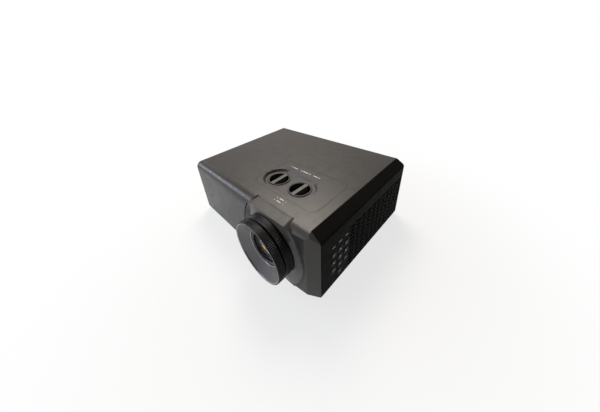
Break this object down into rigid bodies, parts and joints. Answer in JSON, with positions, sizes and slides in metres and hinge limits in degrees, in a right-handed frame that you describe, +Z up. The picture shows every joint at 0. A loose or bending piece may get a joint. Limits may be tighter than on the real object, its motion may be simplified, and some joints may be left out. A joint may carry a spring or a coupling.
{
  "type": "video projector",
  "caption": "Charcoal installation video projector with a hooded lens at the front right, lens shift dials under a recess in the top, and a keypad and air slots in its side.",
  "frame": {"origin": "middle of the bounding box in plan, at the height of the soles of the feet", "axes": "+X to the side with the keypad and the air intake, +Y from the lens towards the rear sockets, +Z up"},
  "size_m": [0.4318, 0.383, 0.163],
  "materials": {
    "charcoal_case": "fine satin grain",
    "black_plastic": "satin",
    "knurled_black": "knurled, satin lip",
    "grey_plastic": "satin",
    "carriage_alloy": "brushed",
    "socket_metal": "plated",
    "circuit_board": "lacquered board",
    "foot_rubber": "matt",
    "lens_glass": "coated",
    "indicator_light": "translucent"
  },
  "bodies": {
    "chassis": {"upper_shell": "charcoal_case", "right_side_cover": "black_plastic", "bottom_tray": "black_plastic", "rear_panel": "black_plastic", "lens_surround": "charcoal_case", "exhaust_grille": "black_plastic", "remote_window": "black_plastic", "shift_panel": "charcoal_case", "lens_mount_frame": "carriage_alloy", "optical_engine": "grey_plastic", "prism_block": "lens_glass", "lamp_module": "grey_plastic", "power_supply": "carriage_alloy", "main_board": "circuit_board", "keypad_board": "circuit_board", "air_filter": "black_plastic", "intake_fan_frame": "black_plastic", "exhaust_fan_frame": "black_plastic", "speaker": "black_plastic", "indicator_1": "indicator_light", "indicator_2": "indicator_light", "indicator_3": "indicator_light", "rear_left_foot": "foot_rubber", "rear_right_foot": "foot_rubber", "power_inlet": "black_plastic", "switch_housing": "black_plastic", "hdmi_socket_1": "socket_metal", "hdmi_socket_2": "socket_metal", "computer_socket": "socket_metal", "serial_socket": "socket_metal", "network_socket": "socket_metal", "usb_socket": "socket_metal", "audio_in_jack": "socket_metal", "audio_out_jack": "socket_metal", "video_jack": "socket_metal"},
    "vertical_carriage": {"vertical_carriage": "carriage_alloy"},
    "lens": {"horizontal_carriage": "carriage_alloy", "lens_barrel": "black_plastic", "retaining_ring": "black_plastic", "front_lens": "lens_glass", "rear_lens": "lens_glass"},
    "zoom_ring": {"zoom_ring": "knurled_black"},
    "focus_ring": {"focus_ring": "knurled_black"},
    "vertical_shift_dial": {"vertical_shift_dial": "grey_plastic"},
    "horizontal_shift_dial": {"horizontal_shift_dial": "grey_plastic"},
    "front_left_foot": {"front_left_foot": "foot_rubber"},
    "front_right_foot": {"front_right_foot": "foot_rubber"},
    "intake_fan_rotor": {"intake_fan_rotor": "black_plastic"},
    "exhaust_fan_rotor": {"exhaust_fan_rotor": "black_plastic"},
    "power_rocker": {"power_rocker": "black_plastic"},
    "key_1": {"key_1": "black_plastic"},
    "key_2": {"key_2": "black_plastic"},
    "key_3": {"key_3": "black_plastic"},
    "key_4": {"key_4": "black_plastic"},
    "key_5": {"key_5": "black_plastic"},
    "key_6": {"key_6": "black_plastic"},
    "key_7": {"key_7": "black_plastic"},
    "key_8": {"key_8": "black_plastic"},
    "key_9": {"key_9": "black_plastic"},
    "key_10": {"key_10": "black_plastic"}
  },
  "joints": [
    {"name": "vertical_shift", "type": "slide", "parent": "chassis", "child": "vertical_carriage", "axis": [0, 0, 1], "range_m": [-0.012, 0]},
    {"name": "horizontal_shift", "type": "slide", "parent": "vertical_carriage", "child": "lens", "axis": [1, 0, 0], "range_m": [-0.007, 0.001]},
    {"name": "zoom_turn", "type": "hinge", "parent": "lens", "child": "zoom_ring", "pos_m": [0.1081, -0.1615, 0.093], "axis": [0, 1, 0], "range_deg": [-30, 30]},
    {"name": "focus_turn", "type": "hinge", "parent": "lens", "child": "focus_ring", "pos_m": [0.1081, -0.1815, 0.093], "axis": [0, 1, 0], "range_deg": [-60, 60]},
    {"name": "vertical_dial_turn", "type": "hinge", "parent": "chassis", "child": "vertical_shift_dial", "pos_m": [0.0301, -0.0525, 0.153], "axis": [0, 0, 1], "range_deg": [-1, 347]},
    {"name": "horizontal_dial_turn", "type": "hinge", "parent": "chassis", "child": "horizontal_shift_dial", "pos_m": [0.0956, -0.0525, 0.153], "axis": [0, 0, 1], "range_deg": [-41, 6.5]},
    {"name": "front_left_foot_screw", "type": "slide", "parent": "chassis", "child": "front_left_foot", "axis": [0, 0, -1], "range_m": [0, 0.012]},
    {"name": "front_right_foot_screw", "type": "slide", "parent": "chassis", "child": "front_right_foot", "axis": [0, 0, -1], "range_m": [0, 0.012]},
    {"name": "intake_fan_spin", "type": "hinge", "parent": "chassis", "child": "intake_fan_rotor", "pos_m": [0.1896, 0.0695, 0.0573], "axis": [1, 0, 0], "continuous": true},
    {"name": "exhaust_fan_spin", "type": "hinge", "parent": "chassis", "child": "exhaust_fan_rotor", "pos_m": [-0.1984, -0.0105, 0.0573], "axis": [1, 0, 0], "continuous": true},
    {"name": "power_switch", "type": "hinge", "parent": "chassis", "child": "power_rocker", "pos_m": [-0.1124, 0.1851, 0.042], "axis": [1, 0, 0], "range_deg": [-20, 0]},
    {"name": "key_1_press", "type": "slide", "parent": "chassis", "child": "key_1", "axis": [-1, 0, 0], "range_m": [0, 0.0008], "stiffness_N_per_m": 600, "springref_m": -0.0005},
    {"name": "key_2_press", "type": "slide", "parent": "chassis", "child": "key_2", "axis": [-1, 0, 0], "range_m": [0, 0.0008], "stiffness_N_per_m": 600, "springref_m": -0.0005},
    {"name": "key_3_press", "type": "slide", "parent": "chassis", "child": "key_3", "axis": [-1, 0, 0], "range_m": [0, 0.0008], "stiffness_N_per_m": 600, "springref_m": -0.0005},
    {"name": "key_4_press", "type": "slide", "parent": "chassis", "child": "key_4", "axis": [-1, 0, 0], "range_m": [0, 0.0008], "stiffness_N_per_m": 600, "springref_m": -0.0005},
    {"name": "key_5_press", "type": "slide", "parent": "chassis", "child": "key_5", "axis": [-1, 0, 0], "range_m": [0, 0.0008], "stiffness_N_per_m": 600, "springref_m": -0.0005},
    {"name": "key_6_press", "type": "slide", "parent": "chassis", "child": "key_6", "axis": [-1, 0, 0], "range_m": [0, 0.0008], "stiffness_N_per_m": 600, "springref_m": -0.0005},
    {"name": "key_7_press", "type": "slide", "parent": "chassis", "child": "key_7", "axis": [-1, 0, 0], "range_m": [0, 0.0008], "stiffness_N_per_m": 600, "springref_m": -0.0005},
    {"name": "key_8_press", "type": "slide", "parent": "chassis", "child": "key_8", "axis": [-1, 0, 0], "range_m": [0, 0.0008], "stiffness_N_per_m": 600, "springref_m": -0.0005},
    {"name": "key_9_press", "type": "slide", "parent": "chassis", "child": "key_9", "axis": [-1, 0, 0], "range_m": [0, 0.0008], "stiffness_N_per_m": 600, "springref_m": -0.0005},
    {"name": "key_10_press", "type": "slide", "parent": "chassis", "child": "key_10", "axis": [-1, 0, 0], "range_m": [0, 0.0008], "stiffness_N_per_m": 600, "springref_m": -0.0005}
  ],
  "couplings": [
    {"joint": "vertical_dial_turn", "follows": "vertical_shift", "rad_per_m": -502.65},
    {"joint": "horizontal_dial_turn", "follows": "horizontal_shift", "rad_per_m": 100}
  ]
}
